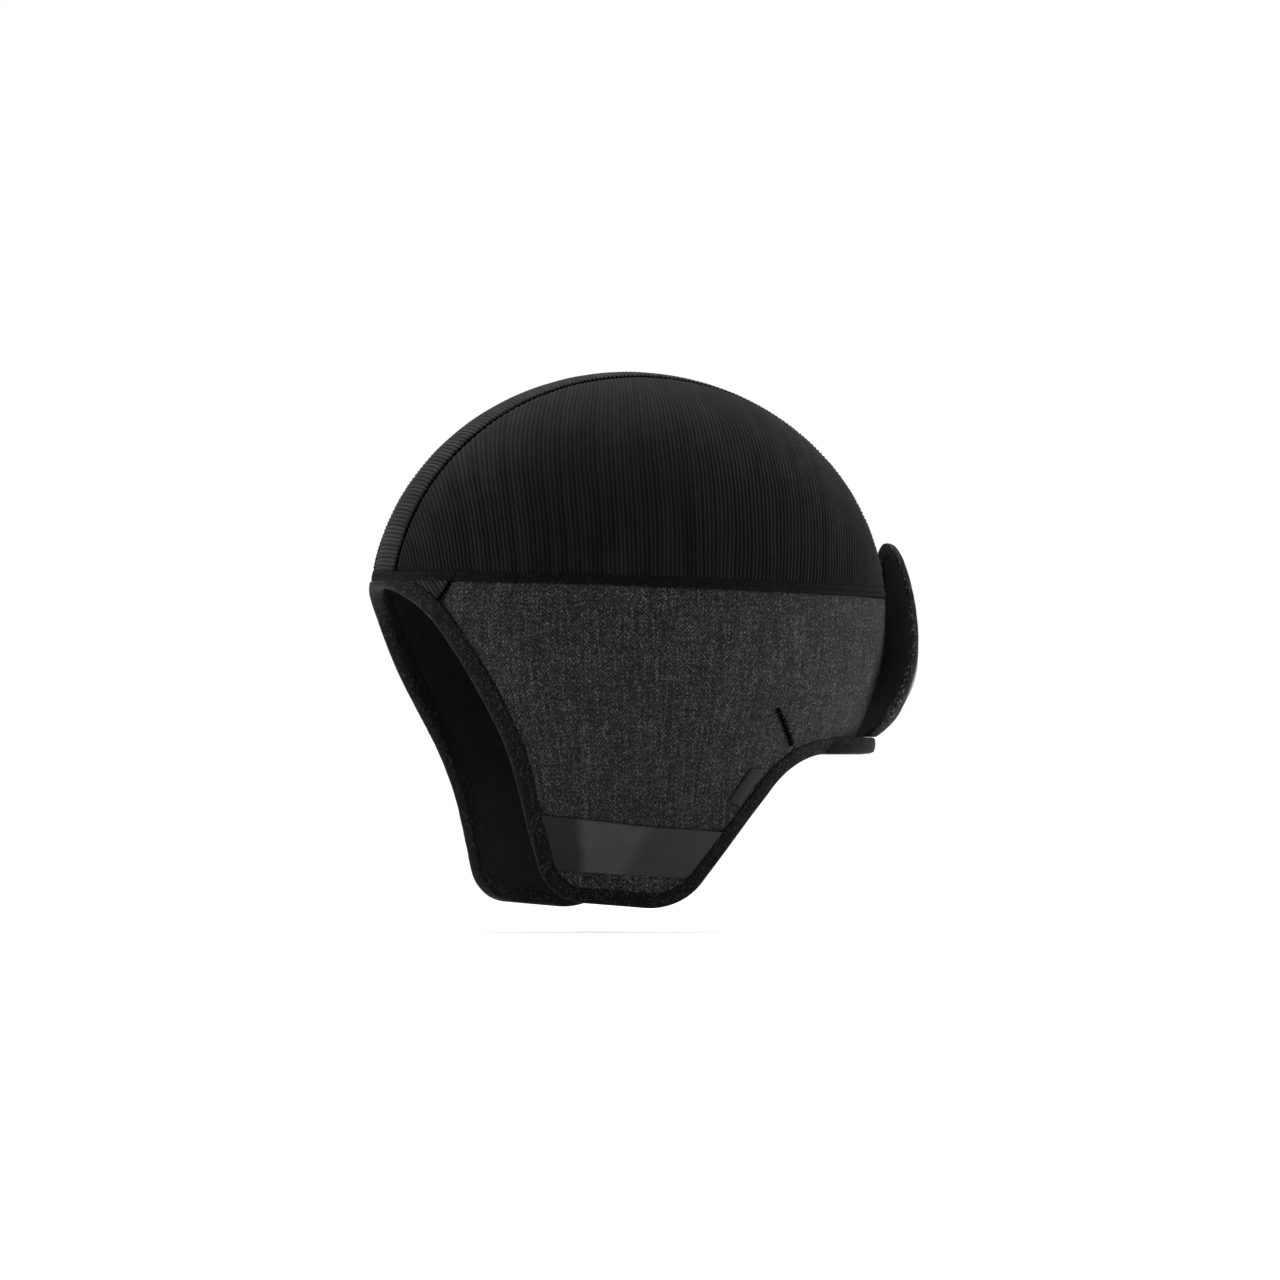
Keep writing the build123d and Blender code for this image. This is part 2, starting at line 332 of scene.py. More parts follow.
# ---------------------------------------------------------------- materials
class Nodes:
    """A material's node tree, built by short calls."""

    def __init__(self, name, base, roughness, sheen=0.0, sheen_roughness=0.5, specular=0.5):
        self.material = bpy.data.materials.new(name)
        self.material.use_nodes = True
        self.tree = self.material.node_tree
        self.shader = self.tree.nodes["Principled BSDF"]
        self.shader.inputs["Base Color"].default_value = (*base, 1)
        self.shader.inputs["Roughness"].default_value = roughness
        self.shader.inputs["Sheen Weight"].default_value = sheen
        self.shader.inputs["Sheen Roughness"].default_value = sheen_roughness
        self.shader.inputs["Specular IOR Level"].default_value = specular
        uv = self.tree.nodes.new("ShaderNodeUVMap")
        uv.uv_map = "UVMap"
        split = self.tree.nodes.new("ShaderNodeSeparateXYZ")
        self.tree.links.new(uv.outputs[0], split.inputs[0])
        self.u, self.v = split.outputs[0], split.outputs[1]
        self.place = self.tree.nodes.new("ShaderNodeTexCoord").outputs["Object"]

    def put(self, socket, value):
        if hasattr(value, "is_output"):
            self.tree.links.new(value, socket)
        elif value is not None:
            socket.default_value = value

    def math(self, op, a, b=None, c=None):
        node = self.tree.nodes.new("ShaderNodeMath")
        node.operation = op
        for socket, value in zip(node.inputs, (a, b, c)):
            self.put(socket, value)
        return node.outputs[0]

    def times(self, a, b):
        return self.math("MULTIPLY", a, b)

    def less(self, a, b):
        return self.math("SUBTRACT", a, b)

    def plus(self, *parts):
        total = parts[0]
        for part in parts[1:]:
            total = self.math("ADD", total, part)
        return total

    def cell(self, value, size):
        """The number of the cell of this size that a coordinate lies in."""
        return self.math("FLOOR", self.math("DIVIDE", value, size))

    def wave(self, value, period):
        return self.math("SINE", self.times(value, 2 * math.pi / period))

    def hump(self, value):
        return self.math("ABSOLUTE", self.math("SINE", value))

    def vector(self, x, y, z=0.0):
        node = self.tree.nodes.new("ShaderNodeCombineXYZ")
        for socket, value in zip(node.inputs, (x, y, z)):
            self.put(socket, value)
        return node.outputs[0]

    def white(self, vector):
        """A random number for each whole place."""
        node = self.tree.nodes.new("ShaderNodeTexWhiteNoise")
        node.noise_dimensions = "3D"
        self.put(node.inputs["Vector"], vector)
        return node.outputs["Value"]

    def noise(self, vector, scale, detail=2.0, roughness=0.5):
        node = self.tree.nodes.new("ShaderNodeTexNoise")
        for key, value in (("Vector", vector), ("Scale", scale), ("Detail", detail), ("Roughness", roughness)):
            self.put(node.inputs[key], value)
        return node.outputs["Fac"]

    def ramp(self, value, stops):
        node = self.tree.nodes.new("ShaderNodeValToRGB")
        self.put(node.inputs[0], value)
        band = node.color_ramp
        while len(band.elements) < len(stops):
            band.elements.new(0.5)
        for element, (at, colour) in zip(band.elements, stops):
            element.position = at
            element.color = (*colour, 1)
        return node.outputs[0]

    def remap(self, value, a, b, c, d):
        node = self.tree.nodes.new("ShaderNodeMapRange")
        for socket, v in zip(node.inputs, (value, a, b, c, d)):
            self.put(socket, v)
        return node.outputs[0]

    def mix(self, fac, dark, light):
        """From the plain colour dark to the socket light."""
        node = self.tree.nodes.new("ShaderNodeMix")
        node.data_type = "RGBA"
        for socket, value in ((node.inputs[0], fac), (node.inputs[6], (*dark, 1)), (node.inputs[7], light)):
            self.put(socket, value)
        return node.outputs[2]

    def bump(self, height, distance, strength, before=None):
        node = self.tree.nodes.new("ShaderNodeBump")
        self.put(node.inputs["Height"], height)
        node.inputs["Distance"].default_value = distance
        node.inputs["Strength"].default_value = strength
        if before is not None:
            self.put(node.inputs["Normal"], before)
        return node.outputs[0]

    def colour(self, socket):
        self.put(self.shader.inputs["Base Color"], socket)

    def normal(self, socket):
        self.put(self.shader.inputs["Normal"], socket)

    def rough(self, socket):
        self.put(self.shader.inputs["Roughness"], socket)


def grey(v, tint=(1.0, 1.0, 1.0)):
    """A colour from an sRGB grey level."""
    c = ((v / 255 + 0.055) / 1.055) ** 2.4 if v > 10 else v / 255 / 12.92
    return tuple(c * t for t in tint)


def rib_knit(name, low, high):
    """Fine rib knit: rows of small loops along each rib. UV is in mm, with the rib across u."""
    loop = 0.85
    m = Nodes(name, grey(high), 0.9, sheen=0.015, sheen_roughness=0.45, specular=0.05)
    lean = m.math("ABSOLUTE", m.wave(m.u, RIB))
    vee = m.math("SINE", m.plus(m.times(m.v, 2 * math.pi / loop), m.times(lean, 2.4)))
    fuzz = m.noise(m.vector(m.u, m.v), 2.6, 3.0, 0.65)
    patchy = m.noise(m.vector(m.u, m.times(m.v, 0.35)), 0.09, 3.0)
    rib_tone = m.white(m.vector(m.cell(m.u, RIB), 3.0))
    tone = m.plus(m.times(fuzz, 0.55), m.times(rib_tone, 0.25), m.times(patchy, 0.35), m.times(vee, 0.07))
    # Painted shade and light: each rib is painted lighter on its crest and darker in the valleys beside it.
    rib_crest_light = m.math("POWER", m.math("ABSOLUTE", m.math("COSINE", m.times(m.u, math.pi / RIB))), 1.4)
    tone = m.times(tone, m.math("MULTIPLY_ADD", rib_crest_light, 0.62, 0.55))
    m.colour(m.ramp(tone, [(0.28, grey(low)), (0.62, grey((low + high) / 2)), (0.95, grey(high))]))
    m.normal(m.bump(m.plus(m.times(vee, 0.5), m.times(fuzz, 0.9)), 0.00016, 0.8))
    return m.material


def heather_weave(name, low, mid, high, seed=0.0):
    """Heathered herringbone: yarns of mixed greys that pass over and under in slanting steps. UV is in mm."""
    yarn, stripe_width, fleck, long_warp, long_weft = 0.42, 6.4, 0.95, 15.0, 11.0
    tint = (1.0, 1.0, 0.955)
    m = Nodes(name, grey(mid), 0.88, sheen=0.015, sheen_roughness=0.5, specular=0.06)
    wobble = m.times(m.less(m.noise(m.vector(m.u, m.v, seed), 0.5, 2.0), 0.5), 0.5)
    u, v = m.plus(m.u, wobble), m.plus(m.v, wobble)
    warp, weft = m.cell(u, yarn), m.cell(v, yarn)
    stripe = m.math("MODULO", m.cell(m.plus(m.u, 500.0), stripe_width), 2.0)
    lean = m.less(m.times(stripe, 2.0), 1.0)
    step = m.plus(warp, m.times(weft, lean), 4000.0)
    over = m.math("LESS_THAN", m.math("MODULO", step, 4.0), 1.5)
    warp_run = m.white(m.vector(warp, m.cell(m.v, long_warp), 1.0 + seed))
    weft_run = m.white(m.vector(m.cell(m.u, long_weft), weft, 2.0 + seed))
    warp_fleck = m.white(m.vector(warp, m.cell(m.v, fleck), 3.0 + seed))
    weft_fleck = m.white(m.vector(m.cell(m.u, fleck), weft, 4.0 + seed))
    warp_tone = m.plus(m.times(warp_run, 0.36), m.times(warp_fleck, 0.64))
    weft_tone = m.plus(m.times(weft_run, 0.34), m.times(weft_fleck, 0.66))
    warp_part = m.times(over, m.plus(warp_tone, 0.06))
    weft_part = m.times(m.less(1.0, over), m.times(weft_tone, 0.86))
    soft = m.noise(m.vector(m.u, m.times(m.v, 0.5), seed), 0.12, 3.0)
    tone = m.plus(warp_part, weft_part, m.times(m.less(soft, 0.5), 0.22))
    stops = [(0.08, low), (0.5, mid), (0.8, (mid + high) / 2), (1.0, high)]
    m.colour(m.ramp(tone, [(at, grey(value, tint)) for at, value in stops]))
    over_height = m.times(over, m.hump(m.times(u, math.pi / yarn)))
    under_height = m.times(m.less(0.8, m.times(over, 0.8)), m.hump(m.times(v, math.pi / yarn)))
    m.normal(m.bump(m.plus(over_height, under_height, m.times(tone, 0.6)), 0.00014, 0.9))
    return m.material


def binding_tape(name, low, mid, high):
    """Dense woven tape with small light flecks."""
    cell = 0.46
    m = Nodes(name, grey(mid), 0.86, sheen=0.015, sheen_roughness=0.4, specular=0.06)
    row = m.cell(m.v, cell)
    shift = m.times(m.math("MODULO", m.plus(row, 1000.0), 2.0), 0.5)
    across = m.plus(m.math("DIVIDE", m.u, cell * 1.25), shift)
    fleck = m.white(m.vector(m.math("FLOOR", across), row, 5.0))
    patchy = m.noise(m.vector(m.u, m.v), 0.35, 3.0, 0.6)
    tone = m.plus(m.times(fleck, 0.8), m.times(m.less(patchy, 0.5), 0.45))
    m.colour(m.ramp(tone, [(0.15, grey(low)), (0.6, grey(mid)), (0.88, grey(high)), (1.0, grey(high * 1.3))]))
    u, v = m.hump(m.times(across, math.pi)), m.hump(m.times(m.v, math.pi / cell))
    m.normal(m.bump(m.plus(m.times(u, v), m.times(fleck, 0.4)), 0.00016, 0.9))
    return m.material


def satin(name, level_, tint, roughness, painted_shade_ends=None):
    """Smooth coated fabric: a fine grain, faint cloudy blotches and a satin shine. With ends given, both ends get
    painted shade.
    """
    m = Nodes(name, grey(level_, tint), roughness, specular=0.12)
    cloud = m.noise(m.vector(m.u, m.v), 0.16, 4.0, 0.6)
    fine = m.noise(m.vector(m.times(m.u, 0.25), m.v), 1.6, 3.0, 0.7)
    tone = m.plus(m.times(cloud, 0.7), m.times(fine, 0.3))
    stops = [(0.25, level_ * 0.86), (0.5, level_), (0.78, level_ * 1.14)]
    colour = m.ramp(tone, [(at, grey(value, tint)) for at, value in stops])
    if painted_shade_ends:
        # Painted shade and reflection: both ends of the cloth are painted darker, so only the middle looks lit by
        # the satin's shine.
        ragged_u = m.math("MULTIPLY_ADD", m.less(cloud, 0.5), 4.0, m.u)
        first = m.remap(m.plus(ragged_u, m.times(m.v, 0.12)), painted_shade_ends[0] - 14.0, painted_shade_ends[0] - 9.0, 0.0, 1.0)
        last = m.remap(m.less(ragged_u, m.times(m.v, 0.55)), painted_shade_ends[1] + 58.0, painted_shade_ends[1] + 64.0, 1.0, 0.45)
        colour = m.mix(m.times(first, last), grey(level_ * 0.3, tint), colour)
    m.colour(colour)
    m.rough(m.remap(cloud, 0.3, 0.7, roughness - 0.06, roughness + 0.08))
    weave = m.bump(m.plus(m.wave(m.u, 0.38), m.wave(m.v, 0.38)), 0.00003, 0.5)
    m.normal(m.bump(cloud, 0.0012, 0.35, weave))
    return m.material


def fleece(name, low, high):
    """Short brushed pile."""
    m = Nodes(name, grey(high), 0.95, sheen=0.03, sheen_roughness=0.6, specular=0.03)
    pile = m.noise(m.vector(m.u, m.v), 2.2, 4.0, 0.75)
    nap = m.noise(m.vector(m.u, m.v, 4.0), 0.22, 3.0)
    tone = m.plus(m.times(pile, 0.65), m.times(nap, 0.35))
    m.colour(m.ramp(tone, [(0.3, grey(low)), (0.7, grey(high))]))
    m.normal(m.bump(m.plus(pile, m.times(nap, 1.2)), 0.0004, 0.8))
    return m.material


def thread(name, level_):
    """Twisted sewing thread."""
    m = Nodes(name, grey(level_), 0.85, specular=0.0)
    twist = m.math("SINE", m.plus(m.times(m.u, 2 * math.pi / 0.45), m.times(m.v, 9.0)))
    # Painted shade and light: the thread is painted lighter on each twist's ridge and darker in its groove.
    m.colour(m.ramp(m.remap(twist, -1.0, 1.0, 0.0, 1.0), [(0.2, grey(level_ * 0.5)), (0.9, grey(level_ * 1.3))]))
    m.normal(m.bump(twist, 0.00006, 0.8))
    return m.material


def foam(name, level_):
    """Closed-cell foam with fine open pores at its cut edge."""
    m = Nodes(name, grey(level_), 0.95, specular=0.2)
    node = m.tree.nodes.new("ShaderNodeTexVoronoi")
    m.put(node.inputs["Vector"], m.place)
    node.inputs["Scale"].default_value = 1400.0
    # Painted shade: each pore is painted darker towards its middle and lighter at its walls.
    m.colour(m.ramp(node.outputs["Distance"], [(0.0, grey(level_ * 0.6)), (0.5, grey(level_ * 1.15))]))
    m.normal(m.bump(node.outputs["Distance"], 0.0003, 0.7))
    return m.material


KNIT = rib_knit("rib_knit", 3, 27)
# Painted light: a lighter copy of the same rib knit, for the centre strip and forehead panels, which face the
# front and top lights.
KNIT_LIT_COPY = rib_knit("rib_knit_strip", 8, 46)
HEATHER = heather_weave("heather_weave", 6, 26, 78)
HEATHER_TIP = heather_weave("heather_weave_tip", 4, 24, 84, 7.0)
TAPE = binding_tape("edge_binding", 3, 9, 40)
# The patch's ends carry painted shade, standing in for its reflection falling off towards the ends.
PATCH = satin("satin_patch", 42, (1.0, 1.0, 1.02), 0.48, painted_shade_ends=(-37.0, -24.0))
COATED = satin("coated_shell", 52, (1.0, 1.0, 1.01), 0.5)
KEEP = satin("keeper_web", 11, (0.96, 0.98, 1.05), 0.5)
FLEECE = fleece("fleece_lining", 5, 18)
POCKET_LINING = fleece("pocket_lining", 6, 15)
STITCH = thread("seam_thread", 2)
ELASTIC = binding_tape("elastic_band", 2, 6, 20)
# Painted light: a lighter copy of the binding tape for the rear flap's rim, which faces the rear light.
RIM_TAPE_LIT = binding_tape("flap_rim_tape", 4, 16, 74)
# Painted shade: a copy of the binding tape painted about a quarter darker, for the nape's base crescent.
BASE_TAPE_SHADED = binding_tape("nape_base_tape", 2, 7, 30)
FOAM = foam("foam", 34)


# ---------------------------------------------------------------- crown
def rib_lines():
    """How the side panels' ribs lean: y = q * grow(z) + drift(z), as tables over z."""
    z = np.linspace(0, CROWN, 481)
    w = (z / 73.0) ** 5
    lean, pull = 0.06 + 0.09 * w, (0.10 - 0.70 * w) / 100
    step = z[1] - z[0]
    grow = np.exp(sums(pull * step))
    drift = grow * sums(lean / grow * step)
    return z, grow, drift


def crown_side():
    """The left side panel: every column of points follows one rib line from the band to the crown seam."""
    zs, grow, drift = rib_lines()
    per_rib = 6
    edge = STRIP_HALF + 0.35
    q_low, q_high = -102.6, 101.2
    t = np.linspace(-math.pi / 2, math.pi / 2, 4001)
    length, q_of = around(t), HALF_LENGTH * 0.992 * np.sin(t)
    a0, a1 = np.interp(q_low, q_of, length), np.interp(q_high, q_of, length)
    count = int(round((a1 - a0) / RIB)) * per_rib + 1
    a = np.linspace(a0, a1, count)
    q = np.interp(a, length, q_of)
    base = SEAM_LEVEL + 2.7 - SEAM_SLOPE * q
    y_all = q[None] * grow[:, None] + drift[:, None]
    room = 1 - (zs[:, None] / CROWN) ** 2 - (y_all / HALF_LENGTH) ** 2 - (edge / HALF_WIDTH) ** 2
    top = np.empty(count)
    for i in range(count):
        below = np.where((room[:, i] <= 0) & (zs > base[i]))[0]
        j = below[0]
        before, after = room[j - 1, i], room[j, i]
        f = before / (before - after) if before > 0 else 0.0
        top[i] = zs[j - 1] + f * (zs[j] - zs[j - 1])
    top = np.maximum(top, base + 0.4)
    rows = 64
    s = np.linspace(0, 1, rows)
    s = s - 0.054 * np.sin(2 * math.pi * s)
    z = base[None] + (top - base)[None] * s[:, None]
    y = q[None] * np.interp(z, zs, grow) + np.interp(z, zs, drift)
    phi = angle_at(y, z)
    x = shell(phi, z, 0)[..., 0]
    dx, dy, dz = (np.diff(k, axis=0) for k in (x, y, z))
    run = np.concatenate([np.zeros((1, count)), np.cumsum(np.hypot(dz, np.hypot(dy, dx)), axis=0)])
    wander = 0.16 * soft_noise(a[None], z, 26.0, 3)
    wave = np.abs(np.cos(math.pi * (a[None] / RIB + wander))) ** 0.75
    to_seam = x - edge
    calm = smooth((to_seam + 0.2) / 2.4) * smooth((z - base[None]) / 1.5)
    g = -0.55 + (0.64 + 0.12 * soft_noise(a[None], z, 9.0, 5)) * wave * (0.35 + 0.65 * calm)
    g += 0.22 * soft_noise(a[None], z, 38.0, 11) * calm
    g -= 0.42 * np.exp(-((to_seam / 0.9) ** 2)) + 0.2 * np.exp(-(((z - base[None]) / 1.6) ** 2))
    uv = np.stack([np.broadcast_to(a[None] + wander * RIB, z.shape), run], -1)
    return shell(phi, z, g), uv


def strip_point(x, t, g):
    """The centre strip at x and arc angle t, from the brow over the top to the back."""
    c = np.sqrt(1 - (x / HALF_WIDTH) ** 2)
    y, z = -(HALF_LENGTH + g) * c * np.cos(t), (CROWN + g) * c * np.sin(t)
    return np.stack(np.broadcast_arrays(x * (HALF_WIDTH + g) / HALF_WIDTH, y, z), -1)


def strip_ends(rise):
    """The arc angles at which the strip meets the base band, at the brow and at the back."""
    fall = SEAM_SLOPE * (HALF_LENGTH - 1)
    brow, back = (math.asin((SEAM_LEVEL + rise + k * fall) / CROWN) for k in (1, -1))
    return brow, math.pi - back


def crown_strip():
    start, end = strip_ends(2.7)
    fine = np.linspace(start, end, 4001)
    step = np.hypot(HALF_LENGTH * np.sin(fine), CROWN * np.cos(fine)) * (fine[1] - fine[0])
    run = sums(step)
    count = int(round(run[-1] / RIB)) * 6 + 1
    a = np.linspace(0, run[-1], count)
    t = np.interp(a, run, fine)
    x = np.linspace(-1, 1, 27)
    x = (STRIP_HALF - 0.35) * np.sign(x) * np.abs(x) ** 0.9
    tt, xx = np.meshgrid(t, x, indexing="ij")
    aa = np.broadcast_to(a[:, None], tt.shape)
    bow = 0.9 * (xx / STRIP_HALF) ** 2 + 0.25 * soft_noise(xx, aa, 30.0, 21)
    wave = np.abs(np.cos(math.pi * (aa + bow) / RIB)) ** 0.75
    edge = STRIP_HALF - 0.35 - np.abs(xx)
    calm = smooth((edge + 0.2) / 2.0)
    g = -0.52 + 0.64 * wave * (0.35 + 0.65 * calm) + 0.12 * soft_noise(xx, aa, 24.0, 22)
    g -= 0.42 * np.exp(-((edge / 0.9) ** 2))
    return strip_point(xx, tt, g), np.stack([aa + bow, xx], -1)


def crown_seam_line(sign):
    """The seam beside the centre strip, with the outward directions along it."""
    start, end = strip_ends(2.2)
    t = np.linspace(start, end, 900)
    p = strip_point(np.full_like(t, STRIP_HALF * sign), t, np.full_like(t, -0.30))
    return p, normals_on(p)


def base_band(sign):
    """Half of the overlocked band over the crown's lower seam, from the brow to the middle of the back."""
    cols = 2300
    phi = np.linspace(-math.pi / 2, math.pi / 2, cols)
    a = around(phi)
    rise = np.array([-1.3, -1.0, -0.6, -0.1, 0.6, 1.3, 2.0, 2.6, 3.1, 3.5])
    body = np.array([-0.75, -0.25, 0.06, 0.16, 0.20, 0.20, 0.16, 0.06, -0.2, -0.7])
    z = seam_height(phi)[None] + rise[:, None]
    slope = (a[None] / 1.35 + rise[:, None] * 0.30) * 2 * math.pi
    loops = 0.17 * np.sin(slope) * smooth(1 - np.abs(rise[:, None] - 1.0) / 2.9)
    g = body[:, None] + loops + 0.06 * soft_noise(a[None], z, 12.0, 31)
    ragged = 0.30 * np.sin(slope + 1.0) + 0.25 * soft_noise(a[None], z, 3.0, 33)
    z = z + ragged * ((rise[:, None] < 0) | (rise[:, None] > 2.4))
    p = shell(phi[None], z, g)
    uv = np.stack([np.broadcast_to(rise[:, None], z.shape) + 3, np.broadcast_to(a[None], z.shape)], -1)
    return (p if sign > 0 else mirrored(p)), uv


# ---------------------------------------------------------------- skirt and ear flap
def patch_edge(phi, points, guess=-84.0):
    """The height at which a side view line crosses each plan angle."""
    z = np.full(np.shape(phi), guess, float)
    for _ in range(6):
        z = line_height(points, HALF_LENGTH * level(z) * np.sin(phi))
    return z


def brow_seam_y(z):
    (y0, z0), (y1, z1) = BROW_SEAM
    return y0 + (z - z0) * (y1 - y0) / (z1 - z0)


def skirt_grid(cols, rows, bottom_inset, patch=True, rise=0.2, front=True):
    """Points over the skirt and the ear flap down to the hem, or to the panel's free edge."""
    c = np.linspace(0, 1, cols)
    starts = [float(angle_at(brow_seam_y(z), z)) for z in (12.6, 5.8)] if front else [-math.pi / 2] * 2
    upper, lower = [a + (math.pi / 2 - a) * c for a in starts]
    top, low = seam_height(upper, rise), hem_height(lower, bottom_inset)
    if patch:
        low = np.maximum(low, patch_edge(lower, PATCH_TOP) - 0.7)
    s = np.linspace(0, 1, rows)
    s = np.where(s < 0.8, s / 0.8 * 0.92, 0.92 + (s - 0.8) / 0.2 * 0.08)
    z = top[None] + (low - top)[None] * s[:, None]
    return upper[None] + (lower - upper)[None] * s[:, None], z


def seam_dip(y, z, line, width):
    """How near points are to a short seam, from 0 to 1."""
    best = np.full(y.shape, 1e9)
    for (y0, z0), (y1, z1) in zip(line, line[1:]):
        d = np.array([y1 - y0, z1 - z0])
        t = np.clip(((y - y0) * d[0] + (z - z0) * d[1]) / (d @ d), 0, 1)
        best = np.minimum(best, np.hypot(y - y0 - t * d[0], z - z0 - t * d[1]))
    return np.exp(-((best / width) ** 2))


def skirt_panel():
    phi, z = skirt_grid(250, 120, 2.0)
    y = HALF_LENGTH * level(z) * np.sin(phi)
    a = around(phi)
    g = -0.12 + 0.30 * soft_noise(a, z, 46.0, 41) + 0.05 * soft_noise(a, z, 9.0, 42)
    g -= 0.55 * seam_dip(y, z, DART, 1.3)
    g -= 0.22 * seam_dip(y, z, DART, 5.0)
    g -= 0.6 * np.exp(-(((y - brow_seam_y(z)) / 0.9) ** 2)) * (z > 0)
    g -= 0.55 * np.exp(-((shell(phi, z, 0)[..., 0] / 1.1) ** 2)) * (y > 0)
    under_band = z - seam_height(phi, -0.4)
    g -= 0.5 * np.exp(-((under_band / 1.3) ** 2))
    edge = patch_edge(phi, PATCH_TOP)
    lift = z - edge
    free = (hem_height(phi, 2.0) < edge) * 1.0
    g += free * (0.20 * np.exp(-(((lift - 6.0) / 3.0) ** 2)) - 0.95 * np.exp(-(((lift + 0.7) / 2.1) ** 2)))
    return shell(phi, z, np.minimum(g, 0.42)), np.stack([a, z], -1)


def forehead_panel():
    phi0 = np.linspace(-math.pi / 2, float(angle_at(-82.0, 12.0)), 120)
    top, low = seam_height(phi0, 0.2), hem_height(phi0, 2.0)
    s = np.linspace(0, 1, 40)
    z = top[None] + (low - top)[None] * s[:, None]
    phi = np.broadcast_to(phi0[None], z.shape)
    a = around(phi)
    y = HALF_LENGTH * level(z) * np.sin(phi)
    across = (a * 0.72 + z * 0.69)
    g = -0.55 + 0.42 * np.abs(np.cos(math.pi * across / RIB)) ** 0.75
    g -= 0.35 * smooth((y - brow_seam_y(z) + 0.8) / 1.2)
    return shell(phi, z, g), np.stack([across, z * 0.72 - a * 0.69], -1)


def flap_zone(top_points, bottom_points, inset, cols, rows, g_of):
    """A band across the ear flap between two side view lines, or down to the hem."""
    line = hem_line(inset)

    def end(points, front):
        half = line[: np.argmin(line[:, 1])] if front else line[np.argmin(line[:, 1]) :]
        d = half[:, 1] - line_height(points, half[:, 0])
        return half[int(np.argmin(np.abs(d)))]

    tops = even(np.array([end(top_points, True), *top_points[1:-1], end(top_points, False)]), count=cols)
    if bottom_points is None:
        i, j = [int(np.argmin(np.hypot(*(line - end(top_points, f)).T))) for f in (True, False)]
        bottoms = even(line[i : j + 1], count=cols)
    else:
        bottoms = even(np.array([end(bottom_points, True), end(bottom_points, False)]), count=cols)
    s = np.linspace(0, 1, rows)[:, None]
    y = tops[None, :, 0] * (1 - s) + bottoms[None, :, 0] * s
    z = tops[None, :, 1] * (1 - s) + bottoms[None, :, 1] * s
    return side(y, z, g_of(y, z, np.broadcast_to(s, y.shape))), np.stack([y * 1.03, z], -1)


def patch_surface():
    def g_of(y, z, s):
        top, bottom = np.exp(-((s / 0.035) ** 2)), np.exp(-(((1 - s) / 0.05) ** 2))
        g = 0.34 - 0.16 * np.sin(math.pi * np.clip(s, 0, 1)) + 0.07 * soft_noise(y, z, 22.0, 51)
        return g - 0.5 * top * (s < 0.012) - 0.45 * bottom

    return flap_zone(PATCH_TOP, PATCH_BOTTOM, 2.5, 130, 60, g_of)


def tip_surface():
    def g_of(y, z, s):
        g = -0.05 + 0.18 * np.sin(math.pi * np.clip(s * 1.2, 0, 1)) + 0.06 * soft_noise(y, z, 6.0, 52)
        return g - 0.35 * np.exp(-((s / 0.12) ** 2))

    return flap_zone(PATCH_BOTTOM, None, 2.0, 130, 16, g_of)


def keeper():
    """A folded tab sewn down beside the binding: a rounded slab over the panel."""
    c = [np.array(p) for p in KEEPER]
    v = np.linspace(0, 1, 30)[:, None]
    profile = [
        (-0.02, -0.3), (0.0, 0.35), (0.03, 0.78), (0.10, 0.98), (0.3, 1.02),
        (0.6, 1.0), (0.88, 0.96), (0.97, 0.74), (1.0, 0.3), (1.02, -0.3),
    ]
    u = np.array([p[0] for p in profile])[None]
    g = np.array([p[1] for p in profile])[None]
    left = c[0][None, None] * (1 - v[..., None]) + c[3][None, None] * v[..., None]
    right = c[1][None, None] * (1 - v[..., None]) + c[2][None, None] * v[..., None]
    p2 = left * (1 - u[..., None]) + right * u[..., None]
    end = np.minimum(v, 1 - v)
    g = np.where(end < 0.02, -0.3, g * (0.72 + 0.28 * smooth(end / 0.08)))
    return side(p2[..., 0], p2[..., 1], g), p2


# ---------------------------------------------------------------- hem binding
# The tape's section: how far in from the hem's edge, and how far out from the cap's surface.
HEM_PROFILE = [
    (6.35, -0.55), (6.15, 0.05), (5.9, 0.42), (5.4, 0.62), (4.6, 0.70), (3.6, 0.76), (2.6, 0.80), (1.7, 0.80),
    (1.0, 0.72), (0.5, 0.46), (0.15, -0.05), (-0.02, -0.8), (-0.08, -1.7), (-0.08, -2.9), (-0.02, -3.8),
    (0.2, -4.6), (0.7, -5.1), (1.6, -5.3), (3.0, -5.3), (4.6, -5.25), (5.6, -5.05), (6.1, -4.7), (6.35, -4.2),
]


def hem_binding():
    """The tape folded over the hem, for the left half, from the brow to the nape."""
    count = 900
    along = np.linspace(0, 1, count)
    eased = (1 - np.cos(math.pi * along)) / 2
    ends = smooth(np.minimum(along, 1 - along) / 0.05)
    u = eased * (1 - ends) + (0.45 * eased + 0.55 * along) * ends
    u = np.maximum.accumulate(np.clip(u, 0, 1))
    rows, uv, width, last = [], [], 0.0, None
    for d, g in HEM_PROFILE:
        line = hem_line(max(d, -0.1))
        run = lengths(line)
        at = u * run[-1]
        y, z = np.interp(at, run, line[:, 0]), np.interp(at, run, line[:, 1])
        pucker = 0.10 * soft_noise(at, np.full(count, d * 2.0), 7.0, 61)
        pucker += 0.14 * soft_noise(at, np.full(count, 3.0), 30.0, 62)
        gg = g + pucker * (1 if g > -2 else -1) * (0.0 if d > 6.2 else 1.0)
        phi = angle_at(y, z)
        phi[0], phi[-1] = -math.pi / 2, math.pi / 2
        if g > -0.7:
            gg = gg - 1.3 * smooth((z - seam_height(phi, -1.6)) / 1.2)
        if last is not None:
            width += math.hypot(d - last[0], g - last[1])
        last = (d, g)
        rows.append(shell(phi, z, gg))
        uv.append(np.stack([at, np.full(count, width)], 1))
    return np.array(rows), np.array(uv)


